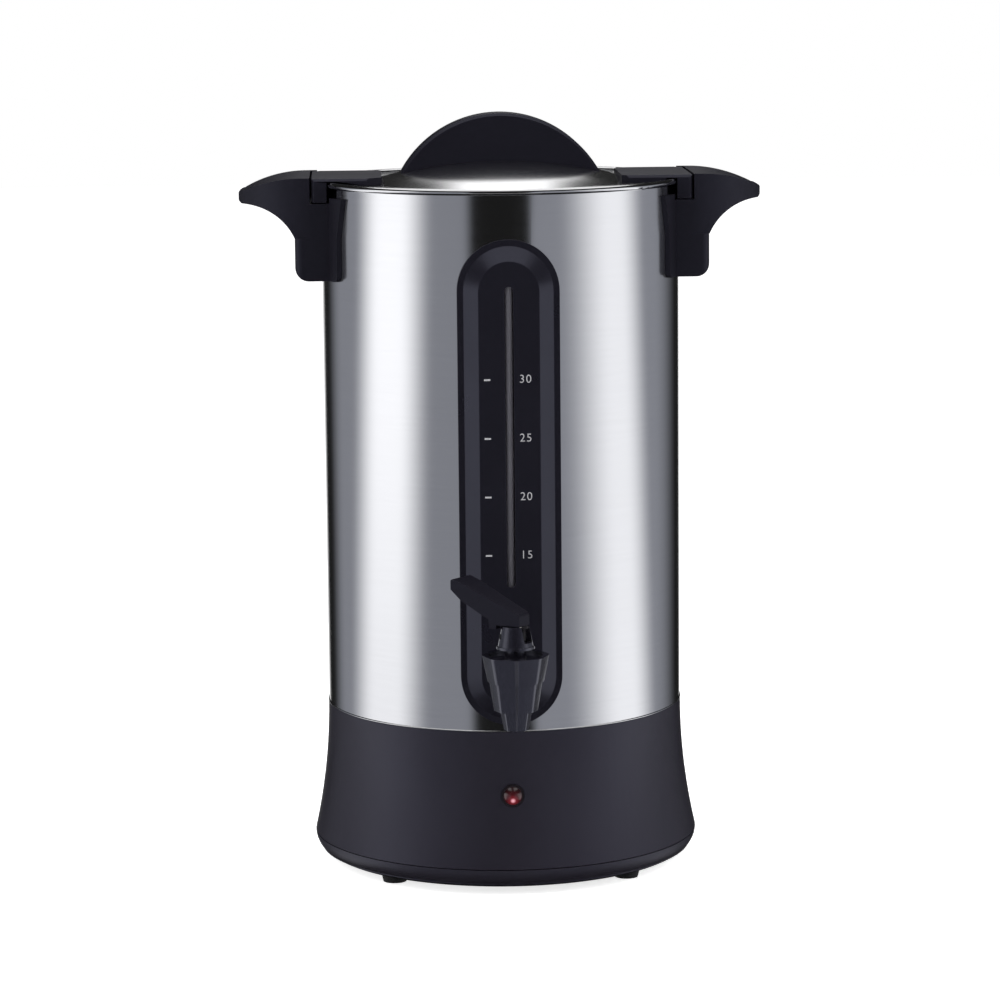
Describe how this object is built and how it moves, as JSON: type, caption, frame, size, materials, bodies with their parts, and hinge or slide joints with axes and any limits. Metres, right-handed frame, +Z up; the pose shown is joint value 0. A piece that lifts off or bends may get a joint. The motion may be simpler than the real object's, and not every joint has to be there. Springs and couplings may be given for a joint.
{
  "type": "coffee urn",
  "caption": "Percolator coffee urn: round steel tank on a flared plastic base, hook handles, lift-off lid with half-moon grip, gauge panel and no-drip tap with a swivelling lever.",
  "frame": {"origin": "on the table, at the middle of the urn's footprint from the front of the tap to the back of the base; the tank's own axis is 32 mm towards the back, at Y = +0.032", "axes": "+Z up; -Y is the front with the tap; +X to the right when the tap faces the viewer"},
  "size_m": [0.3064, 0.2929, 0.444],
  "materials": {
    "tank_steel": "satin-polished stainless steel, fine grain round the tank",
    "lid_steel": "mirror-polished stainless steel",
    "inner_steel": "plain stainless steel",
    "base_plastic": "black heat-resistant plastic, semi-gloss",
    "panel_plastic": "black plastic, gloss",
    "tap_plastic": "black plastic, gloss",
    "handle_plastic": "black phenolic plastic, semi-gloss",
    "latch_plastic": "black phenolic plastic, semi-gloss",
    "foot_rubber": "black rubber, matt",
    "lamp_red": "red translucent plastic lens",
    "lamp_plastic": "black nylon",
    "inlet_plastic": "black phenolic, matt",
    "pin_brass": "nickel-flashed brass",
    "heater_aluminium": "cast aluminium",
    "element_sheath": "heat-darkened sheath",
    "mica_band": "mica and fibreglass wrap",
    "phenolic": "dark phenolic",
    "tube_glass": "clear borosilicate",
    "silicone": "translucent silicone, satin",
    "stem_plastic": "natural acetal",
    "bright_steel": "bright stainless fasteners",
    "spring_steel": "stainless spring wire"
  },
  "bodies": {
    "urn": {"tank": "tank_steel", "base_shell": "base_plastic", "base_pan": "base_plastic", "pan_screws": "bright_steel", "feet": "foot_rubber", "base_stud": "bright_steel", "base_nut": "bright_steel", "pilot_lens": "lamp_red", "pilot_body": "lamp_plastic", "power_inlet": "inlet_plastic", "inlet_pins": "pin_brass", "inlet_screws": "bright_steel", "heater_plate": "heater_aluminium", "brew_element": "element_sheath", "keep_warm_band": "mica_band", "thermostat": "phenolic", "thermal_cutout": "bright_steel", "gauge_panel": "panel_plastic", "panel_screws": "bright_steel", "sight_tube": "tube_glass", "tube_elbows": "silicone", "tap_body": "tap_plastic", "tap_bonnet": "tap_plastic", "tap_gaskets": "silicone", "tap_nut": "bright_steel", "left_handle": "handle_plastic", "right_handle": "handle_plastic", "handle_screws": "bright_steel", "handle_washers": "silicone"},
    "swivel": {"lever_hub": "tap_plastic", "lever_pin": "bright_steel"},
    "lever": {"tap_lever": "tap_plastic"},
    "valve": {"tap_stem": "stem_plastic", "seat_cup": "silicone", "tap_spring": "spring_steel"},
    "lid": {"lid_dome": "lid_steel", "lid_grip": "handle_plastic", "grip_screws": "bright_steel", "left_latch": "latch_plastic", "right_latch": "latch_plastic", "latch_screws": "bright_steel"},
    "pump": {"pump_tube": "inner_steel", "pump_foot": "inner_steel"},
    "basket": {"coffee_basket": "inner_steel"},
    "basket_lid": {"basket_cover": "inner_steel"}
  },
  "joints": [
    {"name": "tap_swivel", "type": "hinge", "parent": "urn", "child": "swivel", "pos_m": [0, -0.128, 0.1551], "axis": [0, 0, 1], "continuous": true},
    {"name": "lever_tilt", "type": "hinge", "parent": "swivel", "child": "lever", "pos_m": [-0.0044, -0.1247, 0.1621], "axis": [-0.6, -0.8, 0], "range_deg": [0, 24], "stiffness_Nm_per_rad": 0.08, "springref_deg": -25.78},
    {"name": "stem_lift", "type": "slide", "parent": "urn", "child": "valve", "axis": [0, 0, 1], "range_m": [0, 0.0022], "deforming": ["tap_spring"]},
    {"name": "lid_lift", "type": "slide", "parent": "urn", "child": "lid", "axis": [0, 0, 1], "range_m": [0, 0.42]},
    {"name": "pump_lift", "type": "slide", "parent": "urn", "child": "pump", "axis": [0, 0, 1], "range_m": [0, 0.302]},
    {"name": "basket_lift", "type": "slide", "parent": "pump", "child": "basket", "axis": [0, 0, 1], "range_m": [0, 0.064]},
    {"name": "basket_lid_lift", "type": "slide", "parent": "basket", "child": "basket_lid", "axis": [0, 0, 1], "range_m": [0, 0.022]}
  ],
  "couplings": [
    {"joint": "stem_lift", "follows": "lever_tilt", "m_per_rad": 0.00501},
    {"joint": "pump_lift", "follows": "lid_lift", "ratio": 0.714},
    {"joint": "basket_lift", "follows": "lid_lift", "ratio": 0.15},
    {"joint": "basket_lid_lift", "follows": "lid_lift", "ratio": 0.05}
  ]
}
